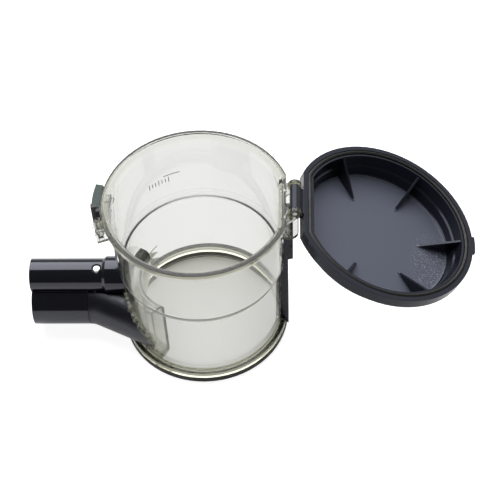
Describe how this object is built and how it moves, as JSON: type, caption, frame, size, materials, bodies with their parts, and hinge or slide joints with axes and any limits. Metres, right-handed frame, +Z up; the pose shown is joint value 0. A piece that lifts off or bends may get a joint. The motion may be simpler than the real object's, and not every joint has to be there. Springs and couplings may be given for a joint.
{
  "type": "vacuum dust bin",
  "caption": "Clear round vacuum dust bin with an open hinged lid, a two-lobed wand socket on one side, a sliding lid latch and a release bar.",
  "frame": {"origin": "on the floor at the centre of the cup's base ring", "axes": "+Z up along the cup's axis, +X towards the lid hinge, -X towards the wand socket and the latch"},
  "size_m": [0.2892, 0.1196, 0.1251],
  "materials": {
    "clear_plastic": "clear moulded polycarbonate",
    "lid_plastic": "satin dark blue-grey",
    "socket_plastic": "glossy blue-black",
    "bar_plastic": "satin black",
    "button_plastic": "dark green",
    "claw_plastic": "black",
    "contact_plastic": "matt black",
    "seal_rubber": "matt black",
    "steel": "bright",
    "brass": "bright"
  },
  "bodies": {
    "bin": {"dust_cup": "clear_plastic", "base_seal": "seal_rubber", "inlet_guide": "clear_plastic", "hinge_pin": "steel", "wand_socket": "socket_plastic", "inlet_duct": "socket_plastic", "socket_screw": "steel", "contact_block": "contact_plastic", "contact_pin_near": "brass", "contact_pin_far": "brass", "latch_spring": "steel", "release_spring": "steel"},
    "lid": {"lid": "lid_plastic", "lid_seal": "seal_rubber"},
    "latch": {"latch_button": "button_plastic", "latch_claw": "claw_plastic"},
    "release": {"release_bar": "bar_plastic"}
  },
  "joints": [
    {"name": "lid_hinge", "type": "hinge", "parent": "bin", "child": "lid", "pos_m": [0.0606, 0, 0.121], "axis": [0, -1, 0], "range_deg": [0, 200.9]},
    {"name": "latch_slide", "type": "hinge", "parent": "bin", "child": "latch", "pos_m": [0, 0, 0.1146], "axis": [0, 0, 1], "range_deg": [0, 4.3], "stiffness_Nm_per_rad": 1.5, "springref_deg": -2.86, "deforming": ["latch_spring"]},
    {"name": "release_slide", "type": "slide", "parent": "bin", "child": "release", "axis": [0, 0, 1], "range_m": [0, 0.0045], "stiffness_N_per_m": 300, "springref_m": -0.004, "deforming": ["release_spring"]}
  ]
}
